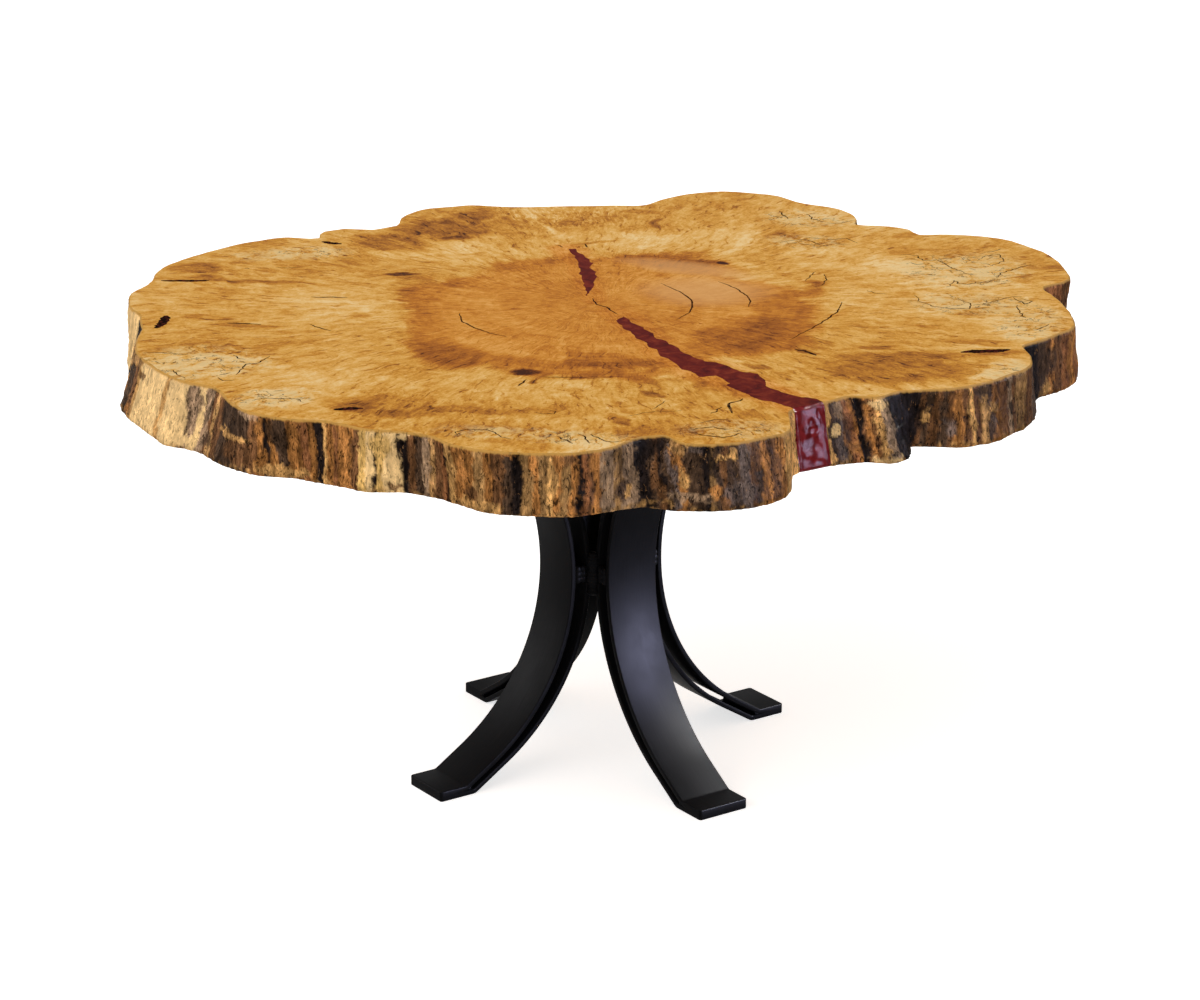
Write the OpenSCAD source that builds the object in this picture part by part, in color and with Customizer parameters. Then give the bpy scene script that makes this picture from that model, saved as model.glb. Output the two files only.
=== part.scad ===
// Coffee table: a round slice of a tree trunk, its drying crack filled with dark red resin,
// on a waisted base of eight bent flat steel bars, two to a leg.
// Millimetres. The origin is on the base's centre line at the floor, +Z is up and the
// legs point along the diagonals.

/* [Top slab] */
// Nominal radius of the slice, to which the outline below adds its lobes
slab_r = 450; // [400:5:520]
// Thickness of the slice
slab_t = 57; // [45:1:75]
// Rounding where the live edge meets the two flat faces
edge_round = 3; // [1.5:0.5:6]
// Depth of the fine vertical flutes in the live edge
flute_depth = 1.6; // [0:0.2:3]

/* [Resin] */
// Width added to the filled cracks on each side
crack_extra = 0; // [-1:0.5:6]

/* [Base] */
// Height of the steel base, floor to slab
base_h = 400; // [350:5:450]
// Distance from the centre line to the tips of the feet
foot_r = 206.5; // [180:0.5:240]
// Room at the waist beyond the point where neighbouring inner bars would touch
corner_gap = 3; // [1:0.5:8]
// Gap between the inner and the outer bar of a leg at the waist
bar_gap = 12.5; // [8:0.5:18]
// Width of the flat bar
bar_w = 56; // [50:1:60]
// Thickness of the flat bar
bar_t = 5; // [4:0.5:6]
// Length of the straight run of an outer bar between its bow and the crease at its pad
toe_len = 34; // [15:1:60]
// Length of an outer bar's flat pad, from the crease to the tip
pad_len = 29; // [26:0.5:36]
// Inside radius of the bend between a bar and its pad
bend_r = 6; // [3:0.5:10]
// Rounding of a pad's corners, seen from above
corner_r = 3; // [1:0.5:6]

/* [Welds] */
// Height of the spacer blocks in the gaps at the waist
spacer_h = 14; // [10:1:20]
// How far a spacer block stops short of the bar's edges
spacer_inset = 1; // [0.5:0.5:4]
// Height of the welds that join the inner bars to each other at the waist
waist_weld_h = 44; // [30:1:60]
// How far the waist welds bulge out past the bars' corners
waist_weld_bulge = 2; // [1:0.5:4]
// Leg length of the fillet weld behind each pad
pad_weld = 3; // [2:0.5:3.5]
// How far a fillet weld stops short of the bar's edges
pad_weld_inset = 0.5; // [0:0.5:4]

/* [Fixings] */
// Distance of the screws from the tip of a pad
screw_edge = 14; // [12:0.5:15]
// Distance of the screws from the middle of the bar
screw_side = 15; // [12:0.5:18]
// Outer diameter of the screws' plain shank
shank_d = 6; // [5:0.5:7]
// Outer diameter of the core that bites into the wood
core_d = 4.2; // [3.5:0.1:4.5]
// Length of a screw under its head
screw_len = 44; // [36:1:50]
// Width across the flats of the hexagon head
head_af = 10; // [8:0.5:11]
// Height of the hexagon head
head_h = 4; // [3:0.5:5]
// Outer diameter of the washers
washer_d = 16; // [14:0.5:18]
// Thickness of the washers
washer_t = 1.6; // [1:0.2:2.5]
// Gap all round a shank in the steel, and round a core in its pilot hole
hole_gap = 0.3; // [0.2:0.1:0.6]

/* [Hidden] */
LEGS = [1, 2, 3, 4];
SCREWS = [1, 2, 3, 4, 5, 6, 7, 8];

WOOD = [0.72, 0.47, 0.22];
RESIN = [0.43, 0.09, 0.10];
STEEL = [0.05, 0.05, 0.06];
ZINC = [0.25, 0.25, 0.27];

$fn = 96;

// Outline of the slice, anticlockwise: [angle, top edge, bottom edge], the edges in mm
// beyond slab_r. Sharp dips are the pockets of bark between the lobes.
OUTLINE = [
    [0, 0, 2], [4, 3, 7], [10, -4, 6], [16, -10, 0], [19, -14, -4], [22, 22, 16],
    [29, 34, 30], [35, 40, 34], [40, 36, 32], [44, 21, 24], [47, 2, 10], [50, -28, -10],
    [52, -20, -8], [57, -29, -14], [60, -42, -26], [62, -20, -16], [67, 1, 6], [72, 4, 10],
    [78, 22, 20], [83, 22, 20], [87, 7, 12], [91, -25, -14], [94, -57, -42],
    [102, -61, -48], [110, -60, -48], [116, -50, -40], [121, -33, -26], [126, -33, -26],
    [131, -46, -38], [135, -77, -64], [139, -79, -66], [143, -51, -44], [146, -50, -44],
    [149, -66, -52], [152, -34, -28], [160, -12, -6], [168, 3, 6], [174, 9, 9],
    [179, 0, 2], [185, 9, 8], [190, 5, 6], [195, -10, 2], [200, -10, 5], [206, -1, 11],
    [210, 8, 24], [218, 7, 22], [223, 5, 25], [228, -9, 9], [233, 2, 17], [239, 14, 16],
    [244, 4, -3], [247, -8, -3], [252, -7, -3], [257, -12, -15], [260, -12, -13],
    [264, 7, -3], [270, 17, 18], [277, 14, 16], [281, 0, 2], [285, -32, -10],
    [288, -36, 2], [290, -3, 7], [294, -1, 13], [299, -9, 4], [302, -14, -10],
    [307, -75, -64], [312, -77, -66], [317, -80, -58], [320, -60, -39], [323, -63, -41],
    [326, -50, -63], [331, -28, -25], [336, -16, -10], [343, -9, -7], [348, -22, -14],
    [351, -34, -22], [354, -24, -24], [358, -6, -2]
];

// Banks of the crack that opens through the front right of the rim, from the heart outward
BANK_LEFT = [
    [26, -48], [38, -81], [54, -104], [74, -134], [94, -167], [112, -196], [132, -215],
    [144, -214], [160, -230], [158, -241], [176, -260], [194, -275], [223, -294]
];
BANK_RIGHT = [
    [28, -34], [47, -61], [66, -85], [72, -101], [92, -124], [119, -162], [137, -169],
    [163, -193], [181, -199], [188, -213], [189, -228], [202, -243], [227, -262],
    [240, -264], [250, -274]
];

// The closed pocket on the other side of the heart
POCKET_LEFT = [[-22, 42], [-25, 52], [-33, 89], [-45, 127], [-54, 164], [-70, 200]];
POCKET_RIGHT = [[-19, 34], [-19, 64], [-23, 100], [-33, 129], [-39, 155], [-52, 184], [-62, 201]];

OUTLINE_STEPS = 240;
BOW_STEPS = 29;
BEND_STEPS = 5;

// Slope of the outline at control row i, zero at a crest or a dip so that nothing overshoots
function row(i) = let (n = len(OUTLINE), r = OUTLINE[(i + n) % n])
    [r[0] + 360 * floor(i / n), r[1], r[2]];
function secant(i, col) = (row(i + 1)[col] - row(i)[col]) / (row(i + 1)[0] - row(i)[0]);
function tangent(i, col) = let (a = secant(i - 1, col), b = secant(i, col))
    a * b <= 0 ? 0 : 2 * a * b / (a + b);

// Smooth curve through the rows, at any angle from 0 to 360
function last_row(angle) = max([for (i = [0:len(OUTLINE) - 1]) if (OUTLINE[i][0] <= angle) i]);
function lobe(angle, col) = let (
        i = last_row(angle), p = row(i), q = row(i + 1),
        w = q[0] - p[0], t = (angle - p[0]) / w
    )
    p[col] * (2 * t * t * t - 3 * t * t + 1) + q[col] * (3 * t * t - 2 * t * t * t)
    + w * (tangent(i, col) * (t * t * t - 2 * t * t + t) + tangent(i + 1, col) * (t * t * t - t * t));

// Fine flutes that wander a little with height
function flutes(angle, up) = flute_depth * 0.5
    * (sin(34 * angle + 70 * sin(3 * angle) + 40 * up) + 0.6 * sin(53 * angle + 50 * sin(2 * angle)));

function edge_at(angle, up) = slab_r + flutes(angle, up)
    + lobe(angle, 1) * up + lobe(angle, 2) * (1 - up);

// Rings of the slice from its underside up: [height, share of the way up, inset]
RINGS = [
    [0, 0, edge_round], [edge_round, 0, 0], [slab_t * 0.5, 0.5, 1],
    [slab_t - edge_round, 1, 0], [slab_t, 1, edge_round]
];

module slab_blank() {
    n = OUTLINE_STEPS;
    rings = len(RINGS);
    points = [
        for (ring = RINGS, i = [0:n - 1])
            let (a = 360 * i / n, r = edge_at(a, ring[1]) - ring[2])
            [r * cos(a), r * sin(a), base_h + ring[0]],
        [0, 0, base_h],
        [0, 0, base_h + slab_t]
    ];
    walls = [
        for (k = [0:rings - 2], i = [0:n - 1])
            let (a = k * n + i, b = k * n + (i + 1) % n)
            each [[a, a + n, b], [b, a + n, b + n]]
    ];
    under = [for (i = [0:n - 1]) [rings * n, i, (i + 1) % n]];
    over = [for (i = [0:n - 1]) [rings * n + 1, (rings - 1) * n + (i + 1) % n, (rings - 1) * n + i]];
    polyhedron(points, concat(under, walls, over));
}

// Both banks of a crack, with what lies between their outer ends
function crack(left, right, far = []) = concat(
    [for (p = left) p - [crack_extra, 0]], far, backwards([for (p = right) p + [crack_extra, 0]])
);

// The front crack runs on past the rim in the direction from the heart
function past_rim(p) = p * 1.5 * slab_r / norm(p);
function last(list) = list[len(list) - 1];
function backwards(list) = [for (i = [len(list) - 1:-1:0]) list[i]];

module crack_front(height) {
    linear_extrude(height) polygon(crack(
        BANK_LEFT, BANK_RIGHT, [past_rim(last(BANK_LEFT)), past_rim(last(BANK_RIGHT))]
    ));
}

module crack_rear(height) {
    linear_extrude(height) polygon(crack(POCKET_LEFT, POCKET_RIGHT));
}

PILOT_DEPTH = screw_len - 2 * bar_t - washer_t + 3;

module slab() {
    color(WOOD) difference() {
        slab_blank();
        translate([0, 0, base_h - 1]) crack_front(slab_t + 2);
        translate([0, 0, base_h - 1]) crack_rear(slab_t + 2);
        for (k = SCREWS)
            at_screw(k) translate([0, 0, base_h - 1])
                cylinder(d = core_d + 2 * hole_gap, h = PILOT_DEPTH + 1);
    }
}

module resin_front() {
    color(RESIN) intersection() {
        slab_blank();
        translate([0, 0, base_h - 1]) crack_front(slab_t + 2);
    }
}

module resin_rear() {
    color(RESIN) translate([0, 0, base_h]) crack_rear(slab_t);
}

// Side profile of the bars. A bar leaves the waist upright, bows round a circle, runs straight
// on along the tangent and is creased to its pad. The bow radius and the slope follow from the
// place of the outer bar's crease. The inner bar is bent alike and reaches one bar further down.
inner_waist_r = bar_w / 2 + corner_gap + bar_t;
waist_r = inner_waist_r + bar_gap + bar_t;
crease_reach = foot_r - pad_len - waist_r;
crease_fall = base_h / 2 - 2 * bar_t;
bow_r = (pow(crease_reach, 2) + pow(crease_fall, 2) - pow(toe_len, 2)) / (2 * crease_reach);
bow_sweep = atan2(crease_fall, bow_r - crease_reach) - atan(toe_len / bow_r);
toe_slope = 90 - bow_sweep;

// Where the bend of a bar ends and its pad begins, for a pad whose free face is at pad_z
function pad_start(face_r, pad_z) = face_r + bow_r * (1 - cos(bow_sweep))
    + (toe_len + (2 * bar_t - pad_z) / sin(toe_slope)) * sin(bow_sweep)
    + bend_r * tan(toe_slope / 2);

module at_leg(k) {
    rotate([0, 0, 90 * k - 135]) children();
}

// Points along an arc, between two angles, about a centre in the side view
function arc(x, z, r, from, to, steps) = [
    for (i = [0:steps]) let (a = from + (to - from) * i / steps) [x + r * cos(a), z + r * sin(a)]
];

// Lower half of one face of a bar, from the waist to the tip of its pad. depth is 0 on the
// hollow face and bar_t on the other.
function half_face(face_r, pad_z, depth) = concat(
    arc(face_r + bow_r, 0, bow_r + depth, 180, 180 + bow_sweep, BOW_STEPS),
    arc(pad_start(face_r, pad_z), pad_z + bend_r - base_h / 2, bend_r + depth,
        270 - toe_slope, 270, BEND_STEPS),
    [[foot_r, pad_z - base_h / 2 - depth]]
);
function upside_down(path) = [for (p = path) [p[0], -p[1]]];
function whole_face(face_r, pad_z, depth) = let (half = half_face(face_r, pad_z, depth))
    concat(backwards(upside_down(half)), [for (i = [1:len(half) - 1]) half[i]]);

// What is cut off the four corners of the pads to round them
module pad_corners() {
    for (side = [-1, 1])
        translate([foot_r - corner_r, side * (bar_w / 2 - corner_r), -1]) difference() {
            translate([0, side > 0 ? 0 : -2 * corner_r, 0])
                cube([2 * corner_r, 2 * corner_r, base_h + 2]);
            translate([0, 0, -1]) cylinder(r = corner_r, h = base_h + 4, $fn = 32);
        }
}

module bar_shape(face_r, pad_z) {
    difference() {
        translate([0, 0, base_h / 2]) rotate([90, 0, 0]) linear_extrude(bar_w, center = true)
            polygon(concat(
                whole_face(face_r, pad_z, 0), backwards(whole_face(face_r, pad_z, bar_t))
            ));
        pad_corners();
    }
}

module outer_shape() {
    bar_shape(waist_r, 2 * bar_t);
}

module inner_shape() {
    bar_shape(inner_waist_r, bar_t);
}

module screw_holes() {
    for (side = [-1, 1])
        translate([foot_r - screw_edge, side * screw_side, base_h - 3 * bar_t])
            cylinder(d = shank_d + 2 * hole_gap, h = 4 * bar_t, $fn = 48);
}

module outer_bar(k) {
    color(STEEL) at_leg(k) difference() {
        outer_shape();
        screw_holes();
    }
}

module inner_bar(k) {
    color(STEEL) at_leg(k) difference() {
        inner_shape();
        screw_holes();
    }
}

// Block across the gap at the waist, cut to the faces of the two bars
module spacer(k) {
    length = bar_w - 2 * spacer_inset;
    color(STEEL) at_leg(k) difference() {
        translate([inner_waist_r - bar_t / 2, -length / 2, (base_h - spacer_h) / 2])
            cube([bar_gap + bar_t, length, spacer_h]);
        outer_shape();
        inner_shape();
    }
}

// How far the inner bars have bowed away at the ends of the waist welds
weld_setback = bow_r + bar_t - sqrt(pow(bow_r + bar_t, 2) - pow(waist_weld_h / 2, 2));

// Weld in the groove between the edges of two neighbouring inner bars
module waist_weld(k) {
    side = bar_w / 2;
    near = inner_waist_r - bar_t + weld_setback;
    far = inner_waist_r;
    bulge = (side + far) / 2 + waist_weld_bulge;
    color(STEEL) at_leg(k) translate([0, 0, (base_h - waist_weld_h) / 2])
        linear_extrude(waist_weld_h)
            polygon([[near, side], [far, side], [bulge, bulge], [side, far], [side, near]]);
}

// Fillet in the wedge between the two bars, just behind the pads
module pad_weld_shape() {
    x = pad_start(waist_r, 2 * bar_t);
    reach = pad_weld / tan(toe_slope) + (bend_r + bar_t) * tan(toe_slope / 2);
    difference() {
        translate([x - reach, pad_weld_inset - bar_w / 2, bar_t])
            cube([reach, bar_w - 2 * pad_weld_inset, pad_weld]);
        outer_shape();
        inner_shape();
    }
}

module foot_weld(k) {
    color(STEEL) at_leg(k) pad_weld_shape();
}

module top_weld(k) {
    color(STEEL) at_leg(k) translate([0, 0, base_h]) mirror([0, 0, 1]) pad_weld_shape();
}

// Two screws to a leg, upright through both bars into the slab
module at_screw(k) {
    side = k % 2 == 0 ? 1 : -1;
    at_leg(ceil(k / 2)) translate([foot_r - screw_edge, side * screw_side, 0]) children();
}

washer_z = base_h - 2 * bar_t - washer_t;

module screw(k) {
    shank_len = washer_t + 2 * bar_t;
    color(ZINC) at_screw(k) translate([0, 0, washer_z]) {
        translate([0, 0, -head_h]) cylinder(d = head_af / cos(30), h = head_h, $fn = 6);
        cylinder(d = shank_d, h = shank_len, $fn = 48);
        translate([0, 0, shank_len]) cylinder(d = core_d, h = screw_len - shank_len - core_d, $fn = 48);
        translate([0, 0, screw_len - core_d]) cylinder(d1 = core_d, d2 = 1, h = core_d, $fn = 48);
    }
}

module washer(k) {
    color(ZINC) at_screw(k) translate([0, 0, washer_z]) difference() {
        cylinder(d = washer_d, h = washer_t);
        translate([0, 0, -1]) cylinder(d = shank_d + 2 * hole_gap, h = washer_t + 2, $fn = 48);
    }
}

slab();
resin_front();
resin_rear();
for (k = LEGS) {
    outer_bar(k);
    inner_bar(k);
    spacer(k);
    waist_weld(k);
    foot_weld(k);
    top_weld(k);
}
for (k = SCREWS) {
    screw(k);
    washer(k);
}
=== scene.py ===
import math

import bmesh
import bpy
from mathutils import Euler, Matrix, Vector, geometry, noise


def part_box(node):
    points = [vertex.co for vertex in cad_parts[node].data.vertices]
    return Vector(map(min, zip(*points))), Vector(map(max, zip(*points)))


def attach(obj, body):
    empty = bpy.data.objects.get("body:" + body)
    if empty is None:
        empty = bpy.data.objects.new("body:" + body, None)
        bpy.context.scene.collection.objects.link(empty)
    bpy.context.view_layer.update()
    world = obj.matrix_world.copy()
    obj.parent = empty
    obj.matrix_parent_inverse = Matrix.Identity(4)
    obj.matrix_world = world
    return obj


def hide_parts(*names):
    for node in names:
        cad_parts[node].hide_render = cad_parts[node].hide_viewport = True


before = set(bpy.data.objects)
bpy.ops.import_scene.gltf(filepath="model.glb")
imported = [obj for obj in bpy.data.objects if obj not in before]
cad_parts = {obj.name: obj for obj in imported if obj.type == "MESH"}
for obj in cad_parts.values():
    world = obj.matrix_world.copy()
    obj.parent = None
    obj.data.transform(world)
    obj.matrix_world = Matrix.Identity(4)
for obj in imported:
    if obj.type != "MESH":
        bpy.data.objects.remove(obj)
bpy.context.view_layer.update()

# The slice: one round sawn across the trunk of a spalted maple. Its bark has come off, and the
# live edge is left as it grew. Both faces are sanded flat, and it is clear-coated all over.
# It is one solid piece, notched where the bark ran in between the lobes of the trunk.
MM = 0.001
SAME, CLOSE = 0.01 * MM, 0.05 * MM

# Without a seed, noise_vector would go by the clock
noise.seed_set(1)


def opened(name, mesh):
    """A new piece with that mesh, alone in edit mode."""
    piece = bpy.data.objects.new(name, mesh)
    bpy.context.scene.collection.objects.link(piece)
    bpy.ops.object.select_all(action="DESELECT")
    bpy.context.view_layer.objects.active = piece
    piece.select_set(True)
    bpy.ops.object.mode_set(mode="EDIT")
    return piece


def copy_of(node, name):
    """A merged copy of a CAD node's mesh, in edit mode with all of it selected."""
    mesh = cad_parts[node].data.copy()
    mesh.name = name
    mesh.materials.clear()
    piece = opened(name, mesh)
    bpy.ops.mesh.select_all(action="SELECT")
    bpy.ops.mesh.remove_doubles(threshold=SAME)
    bpy.ops.mesh.customdata_custom_splitnormals_clear()
    return piece


def select(piece, kind, wanted):
    """Selects those faces, edges or verts of a piece in edit mode for which wanted is true."""
    bpy.ops.mesh.select_mode(type={"faces": "FACE", "edges": "EDGE", "verts": "VERT"}[kind])
    bpy.ops.mesh.select_all(action="DESELECT")
    shape = bmesh.from_edit_mesh(piece.data)
    shape.normal_update()
    for item in getattr(shape, kind):
        if wanted(item):
            item.select_set(True)
    bmesh.update_edit_mesh(piece.data)


def smoothstep(low, high, value):
    share = min(max((value - low) / (high - low), 0), 1)
    return share * share * (3 - 2 * share)


def bearing(place):
    """Degrees anticlockwise from +X, as seen from above."""
    return math.degrees(math.atan2(place.y, place.x)) % 360


slab_low, slab_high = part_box("slab")
UNDER_Z, TOP_Z = slab_low.z, slab_high.z
EDGE_ROUND = 3 * MM
ROW_PITCH = 1.7 * MM
COLUMN_CUTS = 6
RIM_INSIDE = 352 * MM
MOUTH_R = 369.2 * MM
PAST_RIM = 30 * MM
CRACKS_WITHIN = 250 * MM
MOUTH_BEARINGS = (300, 320)
BANK_CUTS = 5


def is_wall(face):
    levels = [v.co.z for v in face.verts]
    return max(levels) - min(levels) > SAME


def walls_of(node, name, pitch):
    """A copy of a CAD node's walls, in quads and cut level into rows, in edit mode."""
    piece = copy_of(node, name)
    select(piece, "faces", lambda f: not is_wall(f) and f.verts[0].co.z in (TOP_Z, UNDER_Z))
    bpy.ops.mesh.delete(type="FACE")
    select(piece, "faces", is_wall)
    bpy.ops.mesh.tris_convert_to_quads(face_threshold=math.pi, shape_threshold=math.pi)
    height = UNDER_Z + EDGE_ROUND / 2
    while height < TOP_Z:
        bpy.ops.mesh.select_all(action="SELECT")
        bpy.ops.mesh.bisect(plane_co=(0, 0, height), plane_no=(0, 0, 1))
        height += pitch
    return piece


def bank_lines():
    """The banks of both filled cracks on the top, as pairs of points, run on past the rim."""
    lines = []
    for node in ("resin_front", "resin_rear"):
        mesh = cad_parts[node].data
        at = [v.co.xy.to_tuple(6) for v in mesh.vertices]
        level = [f for f in mesh.polygons if f.normal.z > 0.99]
        runs = [(at[a], at[b]) for f in level for a, b in f.edge_keys]
        for run in runs:
            a, b = sorted((Vector(p) for p in run), key=lambda p: p.length)
            if runs.count(run) + runs.count(run[::-1]) > 1 or a.length > MOUTH_R:
                continue
            if b.length > MOUTH_R:
                b = b + (b - a).normalized() * PAST_RIM
            lines.append((a, b))
    return lines


BANKS = bank_lines()


def off_bank(place):
    """How far a place is from the nearest bank, in metres."""
    nearest = 1.0
    for a, b in BANKS:
        run, reach = b - a, place.xy - a
        share = min(max(reach.dot(run) / run.length_squared, 0), 1)
        nearest = min(nearest, (reach - run * share).length)
    return nearest


def is_bank(face):
    """True for a wall of a filled crack."""
    middle = face.calc_center_median()
    low, high = MOUTH_BEARINGS
    by_a_crack = middle.xy.length < CRACKS_WITHIN or low < bearing(middle) < high
    return is_wall(face) and by_a_crack and all(off_bank(v.co) < CLOSE for v in face.verts)


def is_rim(face):
    """True on the live edge and on the face poured there, not in the cracks or the pilot holes."""
    return is_wall(face) and face.calc_center_median().xy.length > RIM_INSIDE and not is_bank(face)


def cut_level_edges(piece, wanted, cuts):
    """Cuts up the level edges of the faces for which wanted is true."""
    shape = bmesh.from_edit_mesh(piece.data)
    shape.normal_update()
    chosen = {f.index for f in shape.faces if wanted(f)}
    select(piece, "edges", lambda e: abs(e.verts[0].co.z - e.verts[1].co.z) < SAME and any(
        f.index in chosen for f in e.link_faces))
    bpy.ops.mesh.subdivide(number_cuts=cuts, ngon=True)


def verts_of(piece, wanted):
    """The indices of the verts of those faces of a piece in edit mode for which wanted is true."""
    shape = bmesh.from_edit_mesh(piece.data)
    shape.normal_update()
    shape.verts.index_update()
    return {v.index for f in shape.faces if wanted(f) for v in f.verts}


# The places that both banks of the crack share stay where they are
TIP = Vector((28, -34)) * MM
MOUTH = [Vector((248.95, -272.95)) * MM, Vector((225.73, -297.61)) * MM]
TIP_HOLD, MOUTH_HOLD = 8 * MM, 12 * MM
COARSE_FRAY, FINE_FRAY = 4.2, 1.9


def frayed(place):
    """Where a bank's place goes, so that the crack has the frayed edge of torn wood."""
    flat = Vector((place.x, place.y, 0))
    shift = COARSE_FRAY * noise.noise_vector(flat * 70) + FINE_FRAY * noise.noise_vector(flat * 190)
    held = smoothstep(0, TIP_HOLD, (place.xy - TIP).length)
    for corner in MOUTH:
        held *= smoothstep(0, MOUTH_HOLD, (place.xy - corner).length)
    return place + Vector((shift.x, shift.y, 0)) * held * MM


def fray(piece, banks):
    """Frays the bank walls of a piece in object mode, given the indices of their verts."""
    for index in banks:
        piece.data.vertices[index].co = frayed(piece.data.vertices[index].co)


def rims_at(shape, level):
    """The open edges of a mesh at a level, as runs of verts: the outer run, then its holes."""
    ahead = {}
    for edge in shape.edges:
        if edge.is_boundary and all(abs(v.co.z - level) < SAME for v in edge.verts):
            corner = edge.link_loops[0]
            ends = corner.link_loop_next.vert, corner.vert
            first, then = ends if level == TOP_Z else ends[::-1]
            ahead[first] = then
    runs = []
    while ahead:
        at, run = next(iter(ahead)), []
        while at in ahead:
            run.append(at)
            at = ahead.pop(at)
        runs.append(run)
    return sorted(runs, key=len, reverse=True)


# The finishes of the slice, as its mesh numbers them
SANDED, LIVE_EDGE, CHECK, ZONE_LINE, SEAM = range(5)
TRIANGLES_INSIDE, SAME_IN_MM = 1, 0.0001


def close_flat_face(piece, level, marks=()):
    """Fills the sanded face at a level, with each mark on it as faces of its own."""
    bpy.ops.object.mode_set(mode="EDIT")
    shape = bmesh.from_edit_mesh(piece.data)
    runs = rims_at(shape, level)
    verts = [vert for run in runs for vert in run]
    number = {vert: k for k, vert in enumerate(verts)}
    faces = [[number[vert] for vert in (run[::-1] if k else run)] for k, run in enumerate(runs)]
    kinds = [SANDED] * len(faces)
    places = [vert.co.xy / MM for vert in verts]
    for kind, right, left in marks:
        for k in range(len(right) - 1):
            corners = right[k], right[k + 1], left[k + 1], left[k]
            if geometry.normal([corner.to_3d() for corner in corners]).z > 0.99:
                at = len(places) + k
                faces.append([at, at + 1, at + 1 + len(right), at + len(right)])
                kinds.append(kind)
        places += right + left
    made, _, filled, at_verts, _, in_faces = geometry.delaunay_2d_cdt(
        places, [], faces, TRIANGLES_INSIDE, SAME_IN_MM, True)
    corners = []
    for place, sources in zip(made, at_verts):
        known = min(sources, default=len(verts)) < len(verts)
        corners.append(verts[min(sources)] if known else shape.verts.new((*place * MM, level)))
    for face, sources in zip(filled, in_faces):
        if 0 in sources and not any(0 < k < len(runs) for k in sources):
            face = face if level == TOP_Z else face[::-1]
            shape.faces.new([corners[k] for k in face]).material_index = max(kinds[k] for k in sources)
    bpy.ops.object.mode_set(mode="OBJECT")


CREAM = (0.74, 0.48, 0.21)
OLIVE = (0.56, 0.33, 0.10)
TAN = (0.40, 0.21, 0.075)
OCHRE = (0.47, 0.245, 0.08)
AMBER = (0.29, 0.118, 0.032)
RUST = (0.22, 0.085, 0.032)
MOSS = (0.19, 0.10, 0.036)
DRIFT = (0.24, 0.148, 0.085)
UMBER = (0.115, 0.05, 0.02)
SLATE = (0.105, 0.072, 0.058)
CHARCOAL = (0.052, 0.029, 0.017)
PITCH = (0.012, 0.008, 0.007)

# The live edge from the left round the front to the right: where each stretch begins, in
# degrees, and what colour the wood under the bark has there
FRONT_BANDS = [
    (178, TAN), (186, UMBER), (190, CREAM), (195.5, PITCH), (199, CHARCOAL), (203, TAN), (205.8, PITCH),
    (209, CHARCOAL), (211.5, UMBER), (213, OCHRE), (214.2, CREAM), (220.7, OCHRE), (221.6, CREAM),
    (225.4, DRIFT), (226.6, CREAM), (227.6, DRIFT), (228.9, UMBER), (229.7, TAN), (231, UMBER),
    (232.5, CHARCOAL), (238.1, UMBER), (239.2, AMBER), (240, PITCH), (240.7, AMBER), (241.3, CHARCOAL),
    (243, AMBER), (244.3, RUST), (245.1, AMBER), (245.8, PITCH), (246.9, OCHRE), (247.6, AMBER),
    (248.4, RUST), (249, AMBER), (250.7, UMBER), (251.8, OLIVE), (252.8, CREAM), (253.8, PITCH),
    (254.1, OLIVE), (254.8, CREAM), (256.5, PITCH), (257.6, UMBER), (258.5, CHARCOAL), (259.5, DRIFT),
    (260.4, TAN), (261, UMBER), (262.1, RUST), (262.8, PITCH), (263.1, OCHRE), (264, AMBER),
    (266.1, TAN), (267.4, AMBER), (268.5, UMBER), (269.6, CHARCOAL), (270.4, PITCH), (271.5, MOSS),
    (272.8, AMBER), (273.6, MOSS), (274.5, OCHRE), (275.1, AMBER), (275.8, MOSS), (276.6, AMBER),
    (277.5, PITCH), (278, RUST), (278.8, UMBER), (279.4, AMBER), (280.3, DRIFT), (281.4, MOSS),
    (282.6, DRIFT), (284.4, PITCH), (285.9, CHARCOAL), (286.6, UMBER), (287.1, PITCH),
    (287.6, CHARCOAL), (288.2, SLATE), (288.6, AMBER), (289.3, CHARCOAL), (291.2, PITCH), (292.1, MOSS),
    (292.6, CHARCOAL), (293.6, UMBER), (294.2, CHARCOAL), (295.7, SLATE), (296.8, UMBER),
    (297.6, CHARCOAL), (298.5, AMBER), (299.4, UMBER), (300.6, AMBER), (301.5, OCHRE), (308, OCHRE),
    (312.9, CHARCOAL), (313.6, SLATE), (314.6, UMBER), (315.2, RUST), (316.2, AMBER), (316.8, PITCH),
    (317.8, UMBER), (318.2, AMBER), (318.7, UMBER), (319.1, OCHRE), (319.5, DRIFT), (320.8, PITCH),
    (325.9, UMBER), (326.8, CHARCOAL), (327.6, UMBER), (328.5, CHARCOAL), (329.1, UMBER),
    (329.6, AMBER), (330.6, UMBER), (331.3, OCHRE), (332.1, UMBER), (333, TAN), (333.9, CHARCOAL),
    (334.5, AMBER), (335.8, UMBER), (337.9, DRIFT), (339, UMBER), (339.6, MOSS), (341.4, UMBER),
    (343.7, CHARCOAL), (347, UMBER), (350, PITCH), (353.8, CHARCOAL), (355.1, UMBER), (356.2, AMBER),
    (356.8, UMBER), (358.1, RUST), (359.1, AMBER), (361, RUST),
]
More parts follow.
